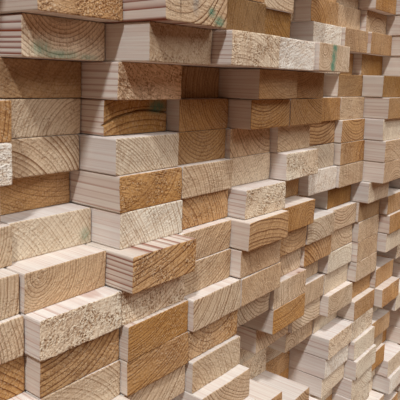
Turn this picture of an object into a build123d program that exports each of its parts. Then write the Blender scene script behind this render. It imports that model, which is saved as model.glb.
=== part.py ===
import os

from build123d import *

# A unit of planed softwood boards, stacked flat in tight layers with nothing between them.
# The boards run along Y. Their front ends face -Y and are uneven, and because all boards
# have one length, the back ends are uneven the other way round.
# Origin: centre of the unit's footprint, at the level it rests on. Sizes in millimetres.

# One board
board_width = 90.0
board_thickness = 35.0
board_length = 2400.0
eased_edge = 1.5

# The unit
board_gap = 0.8

# How far each front end stands out from the mean face of the unit, negative where it is
# set back. One row for each layer, the top layer first, and one value for each board,
# from left to right. The count of rows and of values sets the layers and boards across.
end_offsets = [
    [-20, -10, 10, -25, 5, 20, -10, 0, 15, -5, -20, 10, 0, -10],
    [0, -30, -15, 15, -5, 10, 25, -10, -15, 15, 35, 5, -5, 10],
    [-10, -40, -5, 35, 35, 20, -30, -5, -10, 0, 30, 10, 15, 0],
    [-25, -60, 0, 50, 35, 15, -40, 0, 5, 10, 35, -10, 5, -15],
    [-60, -80, -25, 30, 55, 50, 55, 0, -20, -5, 40, -10, 0, 10],
    [-40, -70, -55, -5, -25, 30, 20, -25, 0, 35, -10, 10, -20, 0],
    [-20, -35, -55, -25, -10, 20, 20, 5, 5, 45, 15, -15, 10, -5],
    [-15, -30, -55, -5, -10, -5, 5, 0, 10, 40, 20, 0, -10, 15],
    [-30, -50, -70, 0, 0, -5, 20, 0, 10, 45, 25, 10, 0, -20],
    [-20, -35, -40, 0, -5, 20, -10, 5, 10, 45, 30, -10, 15, 0],
    [0, -15, -10, 25, 5, 30, 20, -40, -5, 25, -30, 25, 0, -15],
    [10, -10, 10, 10, 5, 20, 10, 10, 5, 10, 25, 20, -5, 10],
    [-10, -15, 5, 15, 20, 20, 0, 5, 0, 10, 30, 10, 15, -20],
    [15, 5, 5, 15, 15, 5, 10, -15, 0, 10, 25, -10, 0, 10],
    [-20, 10, 20, 10, 20, -60, 10, -5, -5, 10, -25, 15, 10, -5],
    [5, -10, 0, -30, 35, -60, -15, -10, 5, 0, 10, -30, 20, 0],
    [0, 15, -20, 25, 45, -60, -50, -20, -20, 10, 25, -20, 15, 10],
    [-15, 5, 10, -10, 15, 30, -50, -60, 10, 10, -10, 20, 0, -15],
    [10, -20, 0, 15, -15, 10, 25, -60, 5, 15, 10, -30, 30, 10],
    [-5, 10, -15, 5, 20, -10, 10, -60, 0, 20, 0, -35, 35, 5],
    [0, -10, 10, -5, 0, 15, -10, 10, -20, 15, 5, -25, 25, 0],
    [10, -5, 20, 5, -15, 10, 15, -10, -20, 15, -10, 15, 0, -10],
    [-15, 5, 10, -10, 15, 5, -20, 15, 0, 5, -15, 20, -10, 5],
    [5, 15, -10, 10, -5, 20, 0, -15, 10, 0, 10, -20, 15, 0],
    [-10, 0, 5, 15, 10, -10, 5, 10, -5, 15, -20, 10, 5, -15],
    [0, -10, 15, -5, 5, 10, -15, 0, 10, -10, 15, -5, -10, 10],
]

# How far each layer sits to the right of a plumb stack, top layer first.
layer_shifts = [
    1, -2, 0, 2, 4, 1, 2, -1, 0, 1, -6, -5, -2,
    -1, 0, 0, 1, -1, 0, 1, 0, -1, 1, 0, -2, 1,
]

boards_across = len(end_offsets[0])
board_pitch = board_width + board_gap
all_offsets = [offset for row in end_offsets for offset in row]


def centred(lowest, highest):
    """The value to add to lowest and highest so that their middle is at zero."""
    return -(lowest + highest) / 2


plumb_width = boards_across * board_pitch - board_gap
unit_left = centred(min(layer_shifts), plumb_width + max(layer_shifts))
mean_face = centred(-max(all_offsets), board_length - min(all_offsets))


def make_board():
    """One board with its four long edges eased, its lower left front corner at the origin."""
    section = Rectangle(board_width, board_thickness, align=Align.MIN)
    section = chamfer(section.vertices(), eased_edge)
    upright = extrude(section, board_length)
    lying = Rot(90, 0, 0) * upright
    return Pos(0, board_length, 0) * lying


def make_layer(board, level, offsets, shift):
    """The boards of one layer side by side, each pushed in or out by its own offset."""
    row = []
    for place, offset in enumerate(offsets):
        left = unit_left + shift + place * board_pitch
        row.append(Pos(left, mean_face - offset, level * board_thickness) * board)
    return Compound(row)


os.makedirs("parts", exist_ok=True)
one_board = make_board()
for step, (offsets, shift) in enumerate(zip(reversed(end_offsets), reversed(layer_shifts))):
    layer = make_layer(one_board, step, offsets, shift)
    export_step(layer, f"parts/layer_{step + 1:02d}.step")
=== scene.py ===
"""A stack of planed softwood boards with sawn ends, laid out as an add-on and run as a script.

Lengths are in metres. X runs across the stack, Y along the boards from the front ends to the
back ends, and Z up. Board sizes and places are read from the frame. Places on one board's end
are in millimetres from the middle of that end.
"""
import math

import bpy
import numpy as np
from bpy.props import FloatProperty, FloatVectorProperty, IntProperty, PointerProperty
from mathutils import Matrix, Vector


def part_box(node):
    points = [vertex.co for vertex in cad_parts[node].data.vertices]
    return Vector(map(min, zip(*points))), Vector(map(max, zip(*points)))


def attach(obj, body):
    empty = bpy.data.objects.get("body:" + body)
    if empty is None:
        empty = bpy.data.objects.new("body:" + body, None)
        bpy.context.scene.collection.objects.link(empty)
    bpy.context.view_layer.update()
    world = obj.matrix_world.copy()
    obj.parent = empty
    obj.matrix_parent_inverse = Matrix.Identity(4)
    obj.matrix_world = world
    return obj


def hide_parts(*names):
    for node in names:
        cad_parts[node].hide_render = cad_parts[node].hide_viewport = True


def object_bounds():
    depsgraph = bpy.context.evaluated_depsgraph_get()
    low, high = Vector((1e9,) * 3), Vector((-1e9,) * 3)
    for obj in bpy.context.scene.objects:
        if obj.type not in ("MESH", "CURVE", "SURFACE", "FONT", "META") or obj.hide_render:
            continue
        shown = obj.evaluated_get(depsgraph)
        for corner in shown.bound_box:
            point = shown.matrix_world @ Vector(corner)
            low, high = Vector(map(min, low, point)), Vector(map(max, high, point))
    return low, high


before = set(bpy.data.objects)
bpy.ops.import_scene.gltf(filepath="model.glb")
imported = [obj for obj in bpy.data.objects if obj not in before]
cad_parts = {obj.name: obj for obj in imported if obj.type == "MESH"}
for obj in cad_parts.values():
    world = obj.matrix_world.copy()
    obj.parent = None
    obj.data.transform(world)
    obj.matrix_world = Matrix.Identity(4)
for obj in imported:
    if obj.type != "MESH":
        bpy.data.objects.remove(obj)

bl_info = {
    "name": "Stack of lumber",
    "version": (1, 0, 0),
    "blender": (4, 5, 0),
    "location": "3D View > Sidebar > Lumber",
    "description": "Builds a stack of planed softwood boards with uneven sawn ends",
    "category": "Add Mesh",
}

cad_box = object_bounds()

MM = 0.001
SLOT = "softwood"
BODY = "root"

# The layers are numbered downwards from this one, whose top edge is level with the eye.
EYE_LAYER_FROM_TOP = 5
# The boards of a layer are numbered to the right from this one.
FIRST_COLUMN = 2

# What the wood of a sawn end can be like: how orange, how light, how strong its rings
# show, and how coarse the saw left it. Cream has a warmth of 0, orange has 1, and white
# lies below 0. The brown kinds are darker to paint shade on boards that lie in it.
KINDS = {
    "w": dict(warmth=-0.25, value=1.12, rings=0.25, rough=0.75),  # white
    "p": dict(warmth=-0.10, value=1.06, rings=0.60, rough=0.50),  # pale
    "c": dict(warmth=0.12, value=1.02, rings=0.50, rough=0.40),  # cream
    "f": dict(warmth=0.14, value=1.10, rings=0.40, rough=1.30),  # cream and torn
    "y": dict(warmth=0.32, value=1.24, rings=0.50, rough=0.45),  # light straw
    "m": dict(warmth=0.42, value=0.84, rings=0.25, rough=0.70),  # dull straw
    "t": dict(warmth=0.45, value=0.93, rings=0.60, rough=0.45),  # tan
    "g": dict(warmth=0.62, value=1.24, rings=0.30, rough=0.95),  # golden and torn
    "q": dict(warmth=0.72, value=1.00, rings=0.50, rough=0.45),  # light orange
    "o": dict(warmth=0.85, value=0.88, rings=0.55, rough=0.40),  # orange
    "r": dict(warmth=0.85, value=0.96, rings=0.45, rough=1.00),  # orange and torn
    # Light brown, brown and dark brown are painted shade: they darken ends that lie in shade.
    "b": dict(warmth=0.80, value=0.74, rings=0.45, rough=0.25),  # light brown
    "d": dict(warmth=0.95, value=0.58, rings=0.40, rough=0.30),  # brown
    "e": dict(warmth=1.00, value=0.46, rings=0.40, rough=0.30),  # dark brown
}
# Any kind is one of these letters, drawn at random. A letter that comes three times is three
# times as likely.
ANY_KIND = "ctocrtfwoct"

# The kind of each board from left to right, for the layers that need a certain look. A dot
# is any kind, and so are all boards of the other layers.
# The letters b, d and e darken the ends of boards that lie in shade: painted shade.
KIND_ROWS = {
    -4: "......coto....",
    -3: ".....ttott....",
    -2: ".brteedwoo....",
    -1: ".cymfwtcod....",
    0: ".tbgbbbbddb...",
    1: ".otbbbbomb....",
    2: ".wtcbttooc....",
    3: ".tortcfcot....",
    4: ".tcpqfbwtt....",
    5: ".ttrtootdc....",
    6: ".tffttottbo...",
    7: ".oootttott....",
    8: ".ttortttct....",
    9: ".totttotct....",
    10: ".ttotottto....",
}

# Boards whose rings are known: (layer, column) to how far the tree's heart lies to the
# right of and above the middle of the end, the width of a ring, and how strong rings show.
HEARTS = {
    (-2, 0): (-10, 90, 4.0, 0.5),
    (-2, 1): (-25, 42, 6.0, 1.9),
    (-1, -1): (-20, 60, 6.5, 1.6),
    (-1, 0): (-4, 42, 3.6, 1.25),
    (-1, 1): (-60, -90, 3.0, 0.5),
    (-1, 2): (-30, -110, 3.6, 1.1),
    (0, 0): (20, 130, 3.4, 0.5),
    (0, 1): (60, 120, 4.2, 0.9),
    (1, 0): (58, -48, 3.4, 0.9),
    (1, 1): (15, -134, 5.0, 1.1),
    (1, 3): (-20, 82, 3.6, 1.3),
    (1, 4): (50, 70, 3.4, 1.2),
    (2, 0): (-62, -72, 3.9, 1.6),
    (2, 1): (-120, -150, 2.7, 1.3),
    (3, 0): (40, 150, 3.0, 0.8),
    (3, 1): (-50, 60, 5.6, 0.55),
    (3, 2): (-80, -34, 3.6, 1.2),
    (3, 3): (-120, -80, 3.0, 1.0),
    (4, 0): (-120, -90, 3.4, 1.0),
    (4, 1): (-140, -80, 3.2, 1.2),
    (4, 2): (-60, -40, 3.8, 1.2),
    (5, 1): (-60, 160, 5.0, 1.7),
    (5, 3): (-30, -170, 4.6, 1.6),
    (6, 1): (-40, 110, 4.6, 1.3),
    (7, 2): (-90, 70, 4.4, 1.5),
    (8, 1): (-60, 130, 3.6, 1.3),
}

# For any other board the heart's distance in millimetres and the ring width are drawn from
# these ranges, and the rings of its kind get stronger by a factor from the last one.
HEART_DISTANCE = (30, 150)
RING_WIDTH = (2.8, 5.2)
RING_STRENGTH = (1.4, 2.6)

# How much the planed faces of some boards show their late wood, and the range for the others.
SIDE_LINES = {(-2, 0): 0.15, (-2, 1): 1.0, (-1, 0): 1.0, (-1, 1): 0.15, (-1, 2): 0.55,
              (0, 1): 0.45, (0, 3): 0.15, (1, 1): 0.50, (1, 3): 0.20, (2, 1): 0.08,
              (3, 1): 0.45, (3, 4): 0.15, (4, 1): 0.12, (4, 3): 0.45, (5, 1): 0.85}
OTHER_SIDE_LINES = (0.05, 0.40)

# How boards of one kind differ: a factor on the lightness of the ends, then what is added to
# their warmth and to the lightness 1 of the planed faces, then how likely knots are.
END_VALUE_SPREAD = (0.94, 1.05)
WARMTH_SPREAD = (-0.08, 0.08)
FACE_VALUE_SPREAD = (-0.07, 0.05)
KNOTTY_RANGE = (0.6, 1.0)

# Marks on front ends: (layer, column), how far right of and above the middle of the end,
# how far it reaches sideways and up, which mark, and how strong. One dark mark is painted shade.
GREEN, GREY, DARK = range(3)
MARKS = [
    ((-2, 1), 21, -5, 5, 4.5, GREEN, 1.0),
    ((-2, 1), 33, -12, 8, 5, GREEN, 0.85),
    ((-2, 1), -4, 2, 5, 11, GREY, 0.6),
    ((-2, 1), -25, 0, 1.2, 14, DARK, 0.55),
    ((-1, 0), -26, -9, 10, 6, GREEN, 0.65),
    ((-1, 0), -6, -14, 22, 4, GREEN, 0.6),
    ((-1, 0), 24, -15, 12, 3, GREEN, 0.5),
    # A thin dark band along the top of this end, under the board above: painted shade.
    ((-1, 0), -4, 16, 20, 2.5, DARK, 0.5),
    ((-1, 4), -2, 12, 6.5, 7, GREEN, 1.0),
    ((-1, 4), -4, 2, 6.5, 9, GREEN, 1.0),
    ((-1, 4), -6, -10, 6.5, 9, GREEN, 1.0),
    ((1, 1), 30, 9, 13, 7, GREEN, 0.9),
    ((4, 0), 38, -8, 6, 7, GREEN, 0.45),
]

# The long crack that follows a ring on one board, in millimetres.
SHAKE_BOARD = (1, 1)
SHAKE_RADIUS = 140.0
SHAKE_WIDTH = 0.7
SHAKE_DEPTH = 5.0
SHAKE_WOBBLE = 0.6

# Wavelengths in metres: the long and the short waves of the saw, the crack's wobble and the
# broken places along an arris.
SAW_LONG = 0.06
SAW_SHORT = 0.011
WOBBLE_LENGTH = 0.03
FRAY_LENGTH = 0.009

# The boards whose ends get the finer grid, because the camera sees them from close by.
NEAR_LAYERS = range(-2, 11)
NEAR_COLUMNS = range(0, 5)

# How far from each end the rings of border points lie along a board, in metres.
ARRIS_DEPTH = 0.0004
RING_PLACES = (0.014, 0.12)

# The way that the light of each lamp travels.
SIDE_TRAVEL = (0.60, 0.38, -1.0)
FRONT_TRAVEL = (-0.18, 0.92, -0.95)
# The level direction, right and back, of the middle of the soft back light.
BACK_WAY = (0.6, 0.8)

# The camera: its place from the upper left front corner of the stack, its turns in radians,
# its lens and the width of its sensor in millimetres, and how far its picture is shifted.
CAMERA_FROM_CORNER = (-0.0869, -0.3233, -0.1886)
CAMERA_YAW = 0.90566
CAMERA_DIP = 0.12285
CAMERA_ROLL = -0.02849
CAMERA_LENS = 51.73
CAMERA_SENSOR = 36.0
CAMERA_SHIFT_Y = -0.125


def linear(red, green, blue):
    """A screen colour of 0 to 255 as the linear light that shaders take."""
    parts = [c / 255 for c in (red, green, blue)]
    return tuple(c / 12.92 if c <= 0.04045 else ((c + 0.055) / 1.055) ** 2.4 for c in parts)


def length_property(name, description, default):
    """A length that the user can change."""
    return FloatProperty(name=name, description=description, default=default, min=0.0,
                         unit="LENGTH", subtype="DISTANCE", precision=4)


def colour_property(name, description, default):
    """A colour that the user can change."""
    return FloatVectorProperty(name=name, description=description, default=default,
                               min=0.0, max=1.0, subtype="COLOR")


class StackSizes(bpy.types.PropertyGroup):
    """Sizes of the boards that the frame doesn't give."""

    board_width: length_property("Board width", "Width of one board", 0.090)
    board_gap: length_property("Board gap", "Gap between boards side by side", 0.0008)
    clearance: length_property("Clearance", "Least play round a board, inside its place", 0.0001)
    play: length_property("Play", "How much thinner than its place a board may be", 0.0012)
    edge_round: length_property("Edge round", "Radius of the eased long edges", 0.0015)
    fray: length_property("Fray", "How far the saw breaks the arris of an end", 0.0011)
    tilt: length_property("Tilt", "How far a cut can be out of square", 0.0016)
    relief: length_property("Relief", "Height of the waves that the saw leaves", 0.0005)
    near_cell: length_property("Near cell", "Size of a face on ends close to the eye", 0.002)
    far_cell: length_property("Far cell", "Size of a face on the other ends", 0.0048)
    shake_cell: length_property("Crack cell", "Size of a face on the cracked end", 0.001)
    seed: IntProperty(name="Seed", description="Start of the random draws", default=11)


class WoodColours(bpy.types.PropertyGroup):
    """Colours of the wood."""

    cream: colour_property("Cream", "Palest sawn end", linear(238, 228, 207))
    orange: colour_property("Orange", "Warmest sawn end", linear(210, 156, 90))
    white: colour_property("White", "Sawn end without any warmth", linear(238, 235, 228))
    late_cream: colour_property("Late cream", "Late wood on a pale end", linear(184, 146, 106))
    late_orange: colour_property("Late orange", "Late wood on a warm end", linear(128, 72, 32))
    planed: colour_property("Planed", "Planed face", linear(230, 225, 219))
    planed_warm: colour_property("Planed warm", "Planed face of warm wood", linear(226, 214, 198))
    late_planed: colour_property("Late planed", "Late wood on a planed face", linear(176, 110, 78))
    late_deep: colour_property("Late deep", "Late wood where it shows most", linear(128, 58, 34))
    knot: colour_property("Knot", "Knot", linear(120, 66, 36))
    green: colour_property("Green", "Green mark", linear(82, 144, 120))
    grey: colour_property("Grey", "Blue grey stain", linear(140, 142, 142))
    # Also the colour of one band of painted shade in MARKS.
    dark: colour_property("Dark", "Dark mark", linear(84, 46, 24))


class StageValues(bpy.types.PropertyGroup):
    """The floor and the light."""

    floor: colour_property("Floor", "Pale floor", linear(208, 206, 203))
    sky: colour_property("Sky", "Colour of the soft light from above", linear(255, 230, 204))
    glow: colour_property("Glow", "Colour of the soft light near the floor", linear(255, 172, 108))
    backdrop: colour_property("Backdrop", "What the camera sees behind", linear(238, 236, 232))
    bounce: colour_property("Bounce", "Colour of the floor as light meets it", linear(112, 74, 46))
    lamps: colour_property("Lamps", "Colour of both lamps", (0.96, 0.98, 0.99))
    sky_strength: FloatProperty(name="Sky strength", description="Soft light from above",
                                default=0.24, min=0.0)
    low_sky: FloatProperty(name="Low sky", description="Share of it near the floor",
                           default=0.16, min=0.0, max=1.0)
    left_dim: FloatProperty(name="Left dim", description="How much weaker the sky is on the left",
                            default=0.85, min=0.0, max=1.0)
    back_light: FloatProperty(name="Back light", description="Soft light from right and behind",
                              default=1.4, min=0.0)
    side_strength: FloatProperty(name="Side strength", description="Light from the upper left",
                                 default=2.25, min=0.0)
    side_angle: FloatProperty(name="Side size", description="Width of the left light as an angle",
                              default=math.radians(5), min=0.0, subtype="ANGLE")
    front_strength: FloatProperty(name="Front strength", description="Light from the front",
                                  default=1.66, min=0.0)
    front_angle: FloatProperty(name="Front size", description="Width of the front light",
                               default=math.radians(38), min=0.0, subtype="ANGLE")
    floor_size: length_property("Floor size", "Side of the floor", 16.0)


class Wire:
    """An output socket of a node, or the node alone if it has none. Operators add Math nodes."""

    def __init__(self, graph, node, output=0):
        self.graph = graph
        self.owner = node
        self.socket = node.outputs[output] if len(node.outputs) else None

    def part(self, output):
        """Another output of the same node."""
        return Wire(self.graph, self.owner, output)

    def __add__(self, other):
        return self.graph.math("ADD", self, other)

    def __sub__(self, other):
        return self.graph.math("SUBTRACT", self, other)

    def __mul__(self, other):
        return self.graph.math("MULTIPLY", self, other)

    def __truediv__(self, other):
        return self.graph.math("DIVIDE", self, other)

    def __pow__(self, other):
        return self.graph.math("POWER", self, other)

    def __rsub__(self, other):
        return self.graph.math("SUBTRACT", other, self)

    def __rtruediv__(self, other):
        return self.graph.math("DIVIDE", other, self)

    def __rpow__(self, other):
        return self.graph.math("POWER", other, self)

    __radd__ = __add__
    __rmul__ = __mul__


class Graph:
    """The node tree of one material or world."""

    def __init__(self, owner):
        owner.use_nodes = True
        self.tree = owner.node_tree
        self.tree.nodes.clear()

    def node(self, kind, settings=None, inputs=None, output=0):
        """Adds a node: its settings first, then the values or links of its sockets."""
        new = self.tree.nodes.new(kind)
        for name, value in (settings or {}).items():
            setattr(new, name, value)
        for key, value in (inputs or {}).items():
            if isinstance(value, Wire):
                self.tree.links.new(value.socket, new.inputs[key])
            else:
                new.inputs[key].default_value = value
        return Wire(self, new, output)

    def math(self, operation, *values):
        """A Math node on numbers and number sockets."""
        return self.node("ShaderNodeMath", {"operation": operation}, dict(enumerate(values)))

    def vector(self, x, y, z):
        """Three numbers as one vector."""
        return self.node("ShaderNodeCombineXYZ", None, {0: x, 1: y, 2: z})

    def split(self, vector):
        """The three numbers of a vector."""
        whole = self.node("ShaderNodeSeparateXYZ", None, {0: vector})
        return [whole.part(axis) for axis in range(3)]

    def attribute(self, name):
        """The three numbers of an attribute of the mesh."""
        whole = self.node("ShaderNodeAttribute", {"attribute_name": name}, None, "Vector")
        return self.split(whole)

    def noise(self, vector, detail, output=0):
        """Smooth noise of 0 to 1, one lump to each unit of the vector."""
        inputs = {"Vector": vector, "Scale": 1.0, "Detail": detail}
        return self.node("ShaderNodeTexNoise", None, inputs, output)

    def step(self, value, low, high):
        """0 at low and 1 at high, with a smooth step between. Low may be the larger one."""
        return self.node("ShaderNodeMapRange", {"interpolation_type": "SMOOTHSTEP"},
                         {"Value": value, "From Min": low, "From Max": high})

    def mix(self, amount, first, second):
        """Two colours mixed: the first where the amount is 0, the second where it is 1."""
        first = first if isinstance(first, Wire) else (*first, 1.0)
        second = second if isinstance(second, Wire) else (*second, 1.0)
        return self.node("ShaderNodeMix", {"data_type": "RGBA"},
                         {0: amount, 6: first, 7: second}, 2)


def seen_plainly(graph):
    """1 for the rays that show the floor and the backdrop, and 0 for those that light by them."""
    rays = graph.node("ShaderNodeLightPath", None, None, "Is Camera Ray")
    shown = graph.math("MAXIMUM", rays, rays.part("Is Glossy Ray"))
    return graph.math("MAXIMUM", shown, rays.part("Is Transmission Ray"))


class Softwood:
    """The nodes of the wood, worked out in space from what each board's mesh says of it.

    Rings on an end run on as grain along the faces. The distance from the heart line, bent
    a little by noise, is divided by the ring width. Its fraction climbs slowly through the
    early wood to the late wood and drops.
    """

    # Lumps of each noise in a metre across the board, along it and up.
    SLOW = (7, 1.3, 7)
    WAVY = (45, 5, 45)
    FIBRE = (620, 7, 620)
    STREAK = (150, 2.2, 150)
    FUZZ = (560, 200, 560)
    PATCH = (38, 9, 60)
    KNOTS = (9, 4.2, 9)
    # The same along and across the lines of the saw.
    SAW = (520, 28)
    LUMPS = (420, 130)
    # The same along the distance from the heart line, and lumps in a ring.
    UNEVEN = 130
    EACH_RING = 3.7
    # Boards take their noise from places up to this far apart, in lumps.
    APART = 17.0

    # How far the slow and the wavy noise push the rings about, in metres, and how far noise
    # along the distance and the halo of a knot do, in ring widths.
    SLOW_PUSH = 0.022
    WAVY_PUSH = 0.0022
    UNEVEN_PUSH = 1.5
    HALO_PUSH = 1.6
    # Powers of the climb through a ring: the higher, the thinner the late wood.
    LATE_POWER = 3.2
    THIN_POWER = 8.0

    # Heights on ends in metres. The broken one is added to lumps and fuzz on torn ends.
    LATE_RISE = 0.00042
    TORN_DROP = 0.0005
    SAW_HEIGHT = 0.00034
    LUMP_HEIGHT = 0.0002
    FUZZ_HEIGHT = 0.0003
    BROKEN_HEIGHT = 0.0014
    # Heights on planed faces in metres.
    LINE_RISE = 0.00004
    FIBRE_HEIGHT = 0.00007

    # How strongly the wood mirrors the light.
    SHEEN = 0.06

    def __init__(self, graph, colours):
        self.graph = graph
        self.colours = {key: tuple(getattr(colours, key)) for key in WoodColours.__annotations__}
        place = graph.node("ShaderNodeTexCoord", None, None, "Object")
        self.x, self.y, self.z = graph.split(place)
        self.heart_x, self.heart_z, self.ring = graph.attribute("heart")
        self.value, self.warmth, self.contrast = graph.attribute("tone")
        self.sawn, self.rough, self.turn = graph.attribute("cut")
        seed, self.knotty, self.lines = graph.attribute("grain")
        self.green, self.grey, self.dark = graph.attribute("marks")
        self.shift = seed * self.APART
        slow = self.lumpy(self.SLOW, 1.0, "xz", "Color")
        self.slow_x, self.slow_z, self.slow_tone = graph.split(slow)
        wavy = self.lumpy(self.WAVY, 1.0, "y", "Color")
        self.wavy_x, self.wavy_z, self.wavy_tone = graph.split(wavy)
        self.add_knots()
        self.add_rings()
        self.add_structure()

    def scaled(self, scales, moved):
        """The place times the scales, moved on the named axes to where no other board is."""
        parts = []
        for axis, place, scale in zip("xyz", (self.x, self.y, self.z), scales):
            part = place * scale
            parts.append(part + self.shift if axis in moved else part)
        return self.graph.vector(*parts)

    def lumpy(self, scales, detail, moved="y", output=0):
        """Noise with so many lumps in a metre each way."""
        return self.graph.noise(self.scaled(scales, moved), detail, output)

    def add_knots(self):
        """Knots are spots that stretch along the board, each with a halo of bent grain."""
        step = self.graph.step
        spots = self.graph.node("ShaderNodeTexVoronoi", {"feature": "F1"},
                                {"Vector": self.scaled(self.KNOTS, "y"), "Scale": 1.0})
        lot = self.graph.split(spots.part("Color"))[0]
        chosen = step(lot * self.knotty, 0.74, 0.78) * (1 - self.sawn)
        self.knot = chosen * (1 - step(spots, 0.055, 0.085))
        self.halo = chosen * (1 - step(spots, 0.05, 0.26))

    def add_rings(self):
        """The late wood of each ring, where it can be torn, and its line on a planed face.

        The phase is the distance over the ring width, plus noise along the distance and the
        halo of a knot. The late wood is a power of its fraction. Each ring has a strength.
        """
        graph = self.graph
        pushed = []
        for place, heart, slow, wavy in ((self.x, self.heart_x, self.slow_x, self.wavy_x),
                                         (self.z, self.heart_z, self.slow_z, self.wavy_z)):
            pushed.append(place - heart + (slow - 0.5) * self.SLOW_PUSH
                          + (wavy - 0.5) * self.WAVY_PUSH)
        off_x, off_z = pushed
        away = graph.math("SQRT", off_x * off_x + off_z * off_z)
        uneven = graph.noise(graph.vector(away * self.UNEVEN, self.shift, 0.0), 1.0)
        phase = away / self.ring + uneven * self.UNEVEN_PUSH + self.halo * self.HALO_PUSH
        climb = graph.math("FRACT", phase)
        whole = phase - climb
        each = graph.noise(graph.vector(whole * self.EACH_RING, self.shift, 0.0), 0.0)
        self.grown = graph.step(each, 0.25, 0.70) * 1.1 + 0.3
        drop = 1 - graph.step(climb, 0.90, 1.0)
        self.late = climb ** self.LATE_POWER * drop * self.grown
        thin = climb ** self.THIN_POWER * drop * self.grown
        self.torn = thin * graph.math("MAXIMUM", self.contrast - 0.4, 0.0)
        self.line = (graph.step(climb, 0.82 - self.lines * 0.50, 0.92)
                     * (1 - graph.step(climb, 0.94, 1.0)))

    def add_structure(self):
        """Fibres and streaks along the faces, and the saw's lines, lumps and fuzz on the ends."""
        graph = self.graph
        self.fibre = self.lumpy(self.FIBRE, 2.0, "")
        self.streak = self.lumpy(self.STREAK, 2.0)
        self.fuzz = self.lumpy(self.FUZZ, 3.0)
        lean_x = graph.math("COSINE", self.turn)
        lean_z = graph.math("SINE", self.turn)
        along = self.x * lean_x + self.z * lean_z
        across = self.z * lean_x - self.x * lean_z
        saw_place = graph.vector(along * self.SAW[0], across * self.SAW[1], self.shift)
        self.saw = graph.noise(saw_place, 2.0)
        lump_place = graph.vector(along * self.LUMPS[0], across * self.LUMPS[1],
                                  self.shift + self.y * 90)
        self.lumps = graph.noise(lump_place, 2.0)
        patch = graph.step(self.lumpy(self.PATCH, 1.0), 0.36, 0.60)
        self.broken = self.rough * (patch * 0.8 + 0.2)
        self.pits = graph.step(self.fuzz, 0.46, 0.34)
        self.hairs = graph.step(self.fuzz, 0.53, 0.66)

    def end_colour(self):
        """A sawn end: rings, lumps and saw lines in late wood, then pale hairs and dark pits."""
        mix, step, colours = self.graph.mix, self.graph.step, self.colours
        warm = self.warmth + (self.slow_x - 0.5) * 0.7
        early = mix(warm, colours["cream"], colours["orange"])
        early = mix(self.warmth * -3.0, early, colours["white"])
        late = mix(warm, colours["late_cream"], colours["late_orange"])
        end = mix(self.late * self.contrast * 0.8, early, late)
        end = mix(step(self.lumps, 0.56, 0.38) * (self.broken * 0.40 + 0.08), end, late)
        end = mix(step(self.saw, 0.52, 0.40) * 0.24, end, late)
        end = mix(step(self.slow_tone, 0.50, 0.75) * 0.30, end, late)
        hair = mix(0.5, early, colours["cream"])
        end = mix(self.hairs * (self.broken * 0.60 + 0.20), end, hair)
        pit = mix(0.55, late, colours["dark"])
        end = mix(self.pits * (self.broken * 0.60 + 0.22), end, pit)
        return mix(self.torn * 0.75, end, colours["dark"])

    def face_colour(self):
        """A planed face: lines of late wood, faint streaks and fibres, and knots."""
        mix, step, colours = self.graph.mix, self.graph.step, self.colours
        late = colours["late_planed"]
        face = mix(self.warmth * 0.7, colours["planed"], colours["planed_warm"])
        deep = mix(self.lines, late, colours["late_deep"])
        shown = self.grown + (1 - self.grown) * self.lines * 0.8
        face = mix(self.line * shown * (self.lines * 0.90 + 0.08), face, deep)
        face = mix(step(self.streak, 0.60, 0.35) * 0.13, face, late)
        face = mix(step(self.fibre, 0.62, 0.36) * 0.15, face, late)
        face = mix(self.halo * 0.35, face, late)
        return mix(self.knot, face, colours["knot"])

    def colour(self):
        """Ends or faces, with the marks over them, made lighter or darker board by board. The
        brown kinds and one dark mark paint shade.
        """
        mix, colours = self.graph.mix, self.colours
        wood = mix(self.sawn, self.face_colour(), self.end_colour())
        patchy = self.graph.step(self.lumps, 0.30, 0.62)
        wood = mix(self.green * (patchy * 0.5 + 0.5), wood, colours["green"])
        wood = mix(self.grey * (patchy * 0.6 + 0.4), wood, colours["grey"])
        # The dark marks hold one band of painted shade.
        wood = mix(self.dark, wood, colours["dark"])
        # The value of the brown kinds makes shaded ends darker: painted shade.
        level = self.value + (self.slow_tone - 0.5) * 0.22 + (self.wavy_tone - 0.5) * 0.10
        return self.graph.node("ShaderNodeVectorMath", {"operation": "SCALE"},
                               {0: wood, "Scale": level})

    def relief(self):
        """A bump from heights in metres: late wood stands out, and torn grooves go in."""
        broken = self.broken * self.BROKEN_HEIGHT
        end = (self.late * self.contrast * self.LATE_RISE - self.torn * self.TORN_DROP
               + (self.saw - 0.5) * self.SAW_HEIGHT
               + (self.lumps - 0.5) * (broken + self.LUMP_HEIGHT)
               + (self.fuzz - 0.5) * (broken + self.FUZZ_HEIGHT))
        face = self.line * self.LINE_RISE + (self.fibre - 0.5) * self.FIBRE_HEIGHT
        height = end * self.sawn + face * (1 - self.sawn)
        return self.graph.node("ShaderNodeBump", None,
                               {"Strength": 1.0, "Distance": 1.0, "Height": height})

    def roughness(self):
        """Sawn ends are duller than planed faces, and knots shine a little more."""
        return 0.58 + self.sawn * 0.30 - self.knot * 0.12


def softwood_material(colours):
    """The finish of every board."""
    material = bpy.data.materials.new(SLOT)
    graph = Graph(material)
    wood = Softwood(graph, colours)
    surface = graph.node("ShaderNodeBsdfPrincipled", None, {
        "Base Color": wood.colour(), "Roughness": wood.roughness(), "Normal": wood.relief(),
        "Specular IOR Level": wood.SHEEN})
    graph.node("ShaderNodeOutputMaterial", None, {"Surface": surface})
    return material


def floor_material(values):
    """A pale floor for the camera, with faint unevenness, that throws a little warm light back."""
    material = bpy.data.materials.new("floor_paint")
    graph = Graph(material)
    place = graph.node("ShaderNodeTexCoord", None, None, "Object")
    cloud = graph.noise(place, 3.0)
    lighter = tuple(min(1.0, part * 1.06) for part in values.floor)
    tint = graph.mix(cloud, tuple(values.floor), lighter)
    shade = graph.mix(seen_plainly(graph), tuple(values.bounce), tint)
    surface = graph.node("ShaderNodeBsdfPrincipled", None, {"Base Color": shade, "Roughness": 0.8})
    graph.node("ShaderNodeOutputMaterial", None, {"Surface": surface})
    return material


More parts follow.
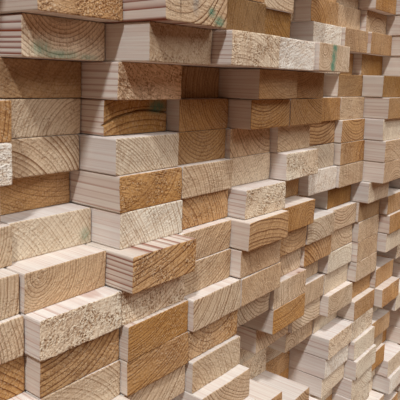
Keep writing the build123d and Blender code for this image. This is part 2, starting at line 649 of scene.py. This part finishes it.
def studio_world(values):
    """Soft light by direction; the camera sees the plain backdrop.

    It grows and turns from the glow to the sky's colour with the height, and is dimmer on the
    left. A band in the sky's colour is added low down, to the right and behind.
    """
    world = bpy.data.worlds.new("studio")
    graph = Graph(world)
    x, y, up = graph.split(graph.node("ShaderNodeTexCoord", None, None, "Generated"))
    height = graph.step(up, 0.15, 0.95)
    turned = y * BACK_WAY[1] + x * BACK_WAY[0]
    behind = graph.step(turned, 0.15, 0.85) * (1 - height * 0.9)
    left = graph.step(x * -1.0, -0.2, 0.8)
    strength = (height * (1 - values.low_sky) + values.low_sky) * (1 - left * values.left_dim)
    tint = graph.math("MAXIMUM", height, behind)
    light = graph.node("ShaderNodeBackground", None, {
        "Color": graph.mix(tint, tuple(values.glow), tuple(values.sky)),
        "Strength": strength * values.sky_strength + behind * values.back_light})
    plain = graph.node("ShaderNodeBackground", None, {"Color": (*values.backdrop, 1.0)})
    both = graph.node("ShaderNodeMixShader", None,
                      {0: seen_plainly(graph), 1: light, 2: plain})
    graph.node("ShaderNodeOutputWorld", None, {"Surface": both})
    return world


def ripple(draw, across, up, wavelength, count=5):
    """Sine waves of random direction, length and phase, about -1 to 1 together.

    Each wave has 0.6 to 1.6 times as many turns in a metre as the wavelength given. Their
    sum is divided by the root of their number and by 1.4.
    """
    direction = draw.uniform(0, 2 * math.pi, count)
    phase = draw.uniform(0, 2 * math.pi, count)
    turns = 2 * math.pi / wavelength * draw.uniform(0.6, 1.6, count)
    waves = np.sin(across[..., None] * turns * np.cos(direction)
                   + up[..., None] * turns * np.sin(direction) + phase)
    return waves.sum(-1) / math.sqrt(count) / 1.4


def grid_lines(size, edge, cells):
    """Lines across a side: one on each end, one an edge width in, and even ones between."""
    inner = np.linspace(edge - size / 2, size / 2 - edge, cells - 1)
    return np.concatenate([[-size / 2], inner, [size / 2]])


def end_grid(width, thickness, edge, cells):
    """The grid of an end, with its four corners drawn in to the middle of their arcs."""
    across, up = np.meshgrid(grid_lines(width, edge, cells[0]),
                             grid_lines(thickness, edge, cells[1]), indexing="ij")
    corner = (np.abs(across) > width / 2 - edge / 2) & (np.abs(up) > thickness / 2 - edge / 2)
    pull = edge * (1 - math.sqrt(0.5))
    return across - np.sign(across) * pull * corner, up - np.sign(up) * pull * corner


def border_places(cells):
    """Rows and columns of the grid's border points, once round, from the lower left."""
    wide, high = cells
    row = np.concatenate([np.arange(wide), np.full(high, wide), np.arange(wide, 0, -1),
                          np.zeros(high, int)])
    column = np.concatenate([np.zeros(wide, int), np.arange(high), np.full(wide, high),
                             np.arange(high, 0, -1)])
    return row, column


def sawn_end(draw, across, up, sizes, rough, shake):
    """How far each point of an end lies behind its foremost point.

    A plane a little out of square, plus long and short waves of the saw, plus a narrow
    bell-shaped groove along a circle where the board has a crack.
    """
    lean = draw.uniform(-1, 1, 2) * sizes.tilt
    depth = lean[0] * across / sizes.board_width + lean[1] * up / sizes.board_width
    depth = depth + ripple(draw, across, up, SAW_LONG) * sizes.relief * (0.4 + rough)
    depth = depth + ripple(draw, across, up, SAW_SHORT) * sizes.relief * 0.45 * rough
    depth = depth - depth.min()
    if shake is not None:
        heart_across, heart_up = shake
        away = np.hypot(across - heart_across, up - heart_up) - SHAKE_RADIUS * MM
        wobble = ripple(draw, across, up, WOBBLE_LENGTH) * SHAKE_WOBBLE * MM
        depth = depth + SHAKE_DEPTH * MM * np.exp(-((away + wobble) / (SHAKE_WIDTH * MM)) ** 2)
    return depth


def fraying(draw, across, up, sizes, rough):
    """How far the arris of an end is broken inwards along its border.

    A low wave all round, plus the square of the peaks of the same wave, and never as far as
    the round of the long edges.
    """
    waves = ripple(draw, across, up, FRAY_LENGTH, 7)
    peaks = np.maximum(0, waves - 0.55) ** 2
    broken = 0.35 + 0.25 * waves + (0.4 + rough) * peaks * 3
    return np.minimum(sizes.fray * broken, 0.85 * sizes.edge_round)


def mark_values(board, across, up):
    """Each mark is a bell with a flat top round its middle, on the front end.

    Its value is the strength times e to minus the cube of the distance from its middle, and
    the distance is counted in reaches. Where marks of one sort overlap, the larger one counts.
    """
    values = np.zeros(across.shape + (3,))
    for owner, right, above, reach_x, reach_z, mark, strength in MARKS:
        if owner == board:
            far = ((across / MM - right) / reach_x) ** 2 + ((up / MM - above) / reach_z) ** 2
            values[..., mark] = np.maximum(values[..., mark], strength * np.exp(-far ** 1.5))
    return values


def board_faces(cells, rim, rings):
    """The quads of a closed board, and 1 for each one that is sawn, else 0.

    The points are numbered from the front end's grid, through the rings of its border, to
    the back end's grid. The sawn quads are both ends and the broken arrises.
    """
    wide, high = cells
    number = np.arange((wide + 1) * (high + 1)).reshape(wide + 1, high + 1)
    front = np.stack([number[:-1, :-1], number[1:, :-1], number[1:, 1:], number[:-1, 1:]], -1)
    front = front.reshape(-1, 4)
    around = len(rim[0])
    last = number.size + around * rings
    back = last + front[:, ::-1]
    loops = [number[rim]]
    loops += [number.size + around * k + np.arange(around) for k in range(rings)]
    loops.append(last + number[rim])
    sides = []
    for near, far in zip(loops[:-1], loops[1:]):
        sides.append(np.stack([near, far, np.roll(far, -1), np.roll(near, -1)], -1))
    faces = np.concatenate([front, back, *sides])
    sawn = np.zeros(len(faces))
    sawn[:2 * len(front) + around] = 1
    sawn[-around:] = 1
    return faces, sawn


def board_surface(draw, sizes, place, cells, rough, board, shake):
    """One closed board: two end grids and rings of their border carried along between them."""
    low, high, thickness = place
    width = sizes.board_width - 2 * sizes.clearance - sizes.play * draw.uniform() ** 3
    thickness = thickness - 2 * sizes.clearance - sizes.play * draw.uniform() ** 3
    across, up = end_grid(width, thickness, sizes.edge_round, cells)
    rim = border_places(cells)
    rim_x, rim_z = across[rim], up[rim]
    front_depth = sawn_end(draw, across, up, sizes, rough, shake)
    back_depth = sawn_end(draw, across, up, sizes, rough, None)
    caps = []
    for depth, base, way in ((front_depth, low, 1), (back_depth, high, -1)):
        broken = fraying(draw, rim_x, rim_z, sizes, rough)
        cap_x = across.copy()
        cap_z = up.copy()
        cap_x[rim] *= 1 - broken / (width / 2)
        cap_z[rim] *= 1 - broken / (thickness / 2)
        caps.append(np.stack([cap_x, base + way * depth, cap_z], -1).reshape(-1, 3))
    stations = [low + front_depth[rim] + ARRIS_DEPTH,
                *(low + inset for inset in RING_PLACES),
                *(high - inset for inset in reversed(RING_PLACES)),
                high - back_depth[rim] - ARRIS_DEPTH]
    rings = [np.stack([rim_x, np.broadcast_to(y, rim_x.shape), rim_z], -1) for y in stations]
    points = np.concatenate([caps[0], *rings, caps[1]])
    faces, sawn = board_faces(cells, rim, len(rings))
    marks = np.zeros((len(points), 3))
    marks[:across.size] = mark_values(board, across, up).reshape(-1, 3)
    return points, faces, sawn, marks


def boards_of_layer(node, sizes):
    """Each board's left edge, front and back, read off the CAD layer, and the layer's levels."""
    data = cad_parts[node].data
    corners = np.empty(len(data.vertices) * 3, np.float32)
    data.vertices.foreach_get("co", corners)
    corners = corners.reshape(-1, 3)
    low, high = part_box(node)
    pitch = sizes.board_width + sizes.board_gap
    count = round((high.x - low.x + sizes.board_gap) / pitch)
    column = np.floor((corners[:, 0] - low.x + sizes.board_gap / 2) / pitch).astype(int)
    boards = []
    for k in range(count):
        reach = corners[column == k, 1]
        boards.append((low.x + k * pitch, float(reach.min()), float(reach.max())))
    return boards, low.z, high.z


def closed_mesh(name, points, faces, smooth, face_values, point_values):
    """A mesh of quads with its attributes: some for each face and one for each point."""
    mesh = bpy.data.meshes.new(name)
    mesh.vertices.add(len(points))
    mesh.vertices.foreach_set("co", points.astype(np.float32).ravel())
    mesh.loops.add(faces.size)
    mesh.loops.foreach_set("vertex_index", faces.astype(np.int32).ravel())
    mesh.polygons.add(len(faces))
    mesh.polygons.foreach_set("loop_start", np.arange(0, faces.size, 4, dtype=np.int32))
    mesh.polygons.foreach_set("use_smooth", smooth)
    mesh.update(calc_edges=True)
    for domain, values in (("FACE", face_values), ("POINT", point_values)):
        for attribute, array in values.items():
            layer = mesh.attributes.new(attribute, "FLOAT_VECTOR", domain)
            layer.data.foreach_set("vector", array.astype(np.float32).ravel())
    return mesh


def cell_counts(sizes, board, thickness):
    """How many faces an end has across and up."""
    layer, column = board
    cell = sizes.far_cell
    if layer in NEAR_LAYERS and column in NEAR_COLUMNS:
        cell = sizes.near_cell
    if board == SHAKE_BOARD:
        cell = sizes.shake_cell
    return round(sizes.board_width / cell), round(thickness / cell)


def wood_of(draw, board):
    """The kind of wood of a board, and its place in the tree as in HEARTS."""
    layer, column = board
    chance = draw.integers(len(ANY_KIND))
    turn = draw.uniform(0, 2 * math.pi)
    far = draw.uniform(*HEART_DISTANCE)
    ring = draw.uniform(*RING_WIDTH)
    letter = KIND_ROWS[layer][column + FIRST_COLUMN] if layer in KIND_ROWS else "."
    kind = KINDS[ANY_KIND[chance] if letter == "." else letter]
    strength = kind["rings"] * draw.uniform(*RING_STRENGTH)
    drawn = (far * math.cos(turn), far * math.sin(turn), ring, strength)
    return kind, HEARTS.get(board, drawn)


def board_looks(draw, board, kind, heart, centre, sawn):
    """What the nodes of the wood read on each face of a board."""
    value = kind["value"] * draw.uniform(*END_VALUE_SPREAD)
    warmth = kind["warmth"] + draw.uniform(*WARMTH_SPREAD)
    face_value = 1 + draw.uniform(*FACE_VALUE_SPREAD)
    turn = draw.uniform(0, math.pi)
    lines = SIDE_LINES.get(board, draw.uniform(*OTHER_SIDE_LINES))
    seed = draw.uniform()
    knotty = draw.uniform(*KNOTTY_RANGE)
    right, above, ring, strength = heart
    centre_x, _, centre_z = centre
    ones = np.ones(len(sawn))
    return {
        "heart": np.outer(ones, (centre_x + right * MM, centre_z + above * MM, ring * MM)),
        "tone": np.stack([np.where(sawn > 0.5, value, face_value), ones * warmth,
                          ones * strength], -1),
        "cut": np.stack([sawn, ones * kind["rough"], ones * turn], -1),
        "grain": np.outer(ones, (seed, knotty, lines)),
    }


class LUMBER_OT_boards(bpy.types.Operator):
    """Build the boards of every layer of the stack"""

    bl_idname = "lumber.boards"
    bl_label = "Boards"

    def execute(self, context):
        sizes = context.scene.lumber_sizes
        material = softwood_material(context.scene.lumber_colours)
        nodes = sorted(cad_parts, reverse=True)
        if not nodes:
            raise RuntimeError("the frame has no layer to dress")
        draw = np.random.default_rng(sizes.seed)
        for row, node in enumerate(nodes):
            self.build_layer(context, sizes, material, draw, row, node)
        return {"FINISHED"}

    def build_layer(self, context, sizes, material, draw, row, node):
        """Joins the boards of one layer into one piece that stands for the CAD layer."""
        places, floor, top = boards_of_layer(node, sizes)
        points, faces, smooth, marks, looks = [], [], [], [], []
        count = 0
        for index, (left, low, high) in enumerate(places):
            board = (row - EYE_LAYER_FROM_TOP, index - FIRST_COLUMN)
            kind, heart = wood_of(draw, board)
            centre = (left + sizes.board_width / 2, 0, (floor + top) / 2)
            shake = (heart[0] * MM, heart[1] * MM) if board == SHAKE_BOARD else None
            cells = cell_counts(sizes, board, top - floor)
            own_points, own_faces, sawn, own_marks = board_surface(
                draw, sizes, (low, high, top - floor), cells, kind["rough"], board, shake)
            points.append(own_points + centre)
            faces.append(own_faces + count)
            smooth.append(sawn > 0.5)
            marks.append(own_marks)
            looks.append(board_looks(draw, board, kind, heart, centre, sawn))
            count += len(own_points)
        face_values = {key: np.concatenate([own[key] for own in looks]) for key in looks[0]}
        name = "boards_" + node
        mesh = closed_mesh(name, np.concatenate(points), np.concatenate(faces),
                           np.concatenate(smooth), face_values, {"marks": np.concatenate(marks)})
        mesh.materials.append(material)
        piece = bpy.data.objects.new(name, mesh)
        context.scene.collection.objects.link(piece)
        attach(piece, BODY)
        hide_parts(node)


def camera_matrix(corner):
    """The camera's place and turns: yaw to the right, dip below the horizon, then roll."""
    ahead = Vector((math.sin(CAMERA_YAW) * math.cos(CAMERA_DIP),
                    math.cos(CAMERA_YAW) * math.cos(CAMERA_DIP), -math.sin(CAMERA_DIP)))
    level = Vector((math.cos(CAMERA_YAW), -math.sin(CAMERA_YAW), 0))
    down = ahead.cross(level)
    right = level * math.cos(CAMERA_ROLL) + down * math.sin(CAMERA_ROLL)
    below = down * math.cos(CAMERA_ROLL) - level * math.sin(CAMERA_ROLL)
    turn = Matrix((right, -below, -ahead)).transposed().to_4x4()
    return Matrix.Translation(corner + Vector(CAMERA_FROM_CORNER)) @ turn


class LUMBER_OT_stage(bpy.types.Operator):
    """Add the floor, the lights and the camera"""

    bl_idname = "lumber.stage"
    bl_label = "Stage"

    def execute(self, context):
        values = context.scene.lumber_stage
        self.add_floor(context, values)
        self.add_light(context, values)
        self.add_camera(context)
        context.scene.view_settings.view_transform = "Standard"
        return {"FINISHED"}

    def add_floor(self, context, values):
        """A flat square under the stack."""
        half = values.floor_size / 2
        mesh = bpy.data.meshes.new("floor")
        mesh.from_pydata([(-half, -half, 0), (half, -half, 0), (half, half, 0), (-half, half, 0)],
                         [], [(0, 1, 2, 3)])
        mesh.materials.append(floor_material(values))
        floor = bpy.data.objects.new("floor", mesh)
        context.scene.collection.objects.link(floor)

    def add_light(self, context, values):
        """A crisp light from the upper left, a broad one from the front, and a soft sky."""
        self.add_lamp(context, "side_lamp", values.side_strength, values.side_angle, SIDE_TRAVEL)
        self.add_lamp(context, "front_lamp", values.front_strength, values.front_angle,
                      FRONT_TRAVEL)
        context.scene.world = studio_world(values)

    def add_lamp(self, context, name, strength, angle, travel):
        """A lamp far away, whose light travels in one direction."""
        lamp = bpy.data.lights.new(name, "SUN")
        lamp.energy = strength
        lamp.angle = angle
        lamp.color = context.scene.lumber_stage.lamps
        holder = bpy.data.objects.new(name, lamp)
        holder.rotation_mode = "QUATERNION"
        holder.rotation_quaternion = Vector(travel).to_track_quat("-Z", "Y")
        context.scene.collection.objects.link(holder)

    def add_camera(self, context):
        """The camera at the stack's left front corner."""
        lens = bpy.data.cameras.new("camera")
        lens.sensor_width = CAMERA_SENSOR
        lens.lens = CAMERA_LENS
        lens.shift_y = CAMERA_SHIFT_Y
        lens.clip_start = 0.01
        camera = bpy.data.objects.new("camera", lens)
        corner = Vector((cad_box[0][0], cad_box[0][1], cad_box[1][2]))
        camera.matrix_world = camera_matrix(corner)
        context.scene.collection.objects.link(camera)
        context.scene.camera = camera


class LUMBER_PT_panel(bpy.types.Panel):
    """The stack's operators and values"""

    bl_label = "Stack of lumber"
    bl_idname = "LUMBER_PT_panel"
    bl_space_type = "VIEW_3D"
    bl_region_type = "UI"
    bl_category = "Lumber"

    def draw(self, context):
        layout = self.layout
        for operator in (LUMBER_OT_boards, LUMBER_OT_stage):
            layout.operator(operator.bl_idname)
        for name, values in POINTERS.items():
            box = layout.box()
            for key in values.__annotations__:
                box.prop(getattr(context.scene, name), key)


POINTERS = {"lumber_sizes": StackSizes, "lumber_colours": WoodColours,
            "lumber_stage": StageValues}
CLASSES = (*POINTERS.values(), LUMBER_OT_boards, LUMBER_OT_stage, LUMBER_PT_panel)


def register():
    """Adds the classes and the values to Blender."""
    for new in CLASSES:
        bpy.utils.register_class(new)
    for name, values in POINTERS.items():
        setattr(bpy.types.Scene, name, PointerProperty(type=values))


def unregister():
    """Takes the values and the classes away again."""
    for name in POINTERS:
        delattr(bpy.types.Scene, name)
    for old in reversed(CLASSES):
        bpy.utils.unregister_class(old)


def main():
    """Builds the stack, then its stage."""
    register()
    bpy.ops.lumber.boards()
    bpy.ops.lumber.stage()


if __name__ == "__main__":
    main()
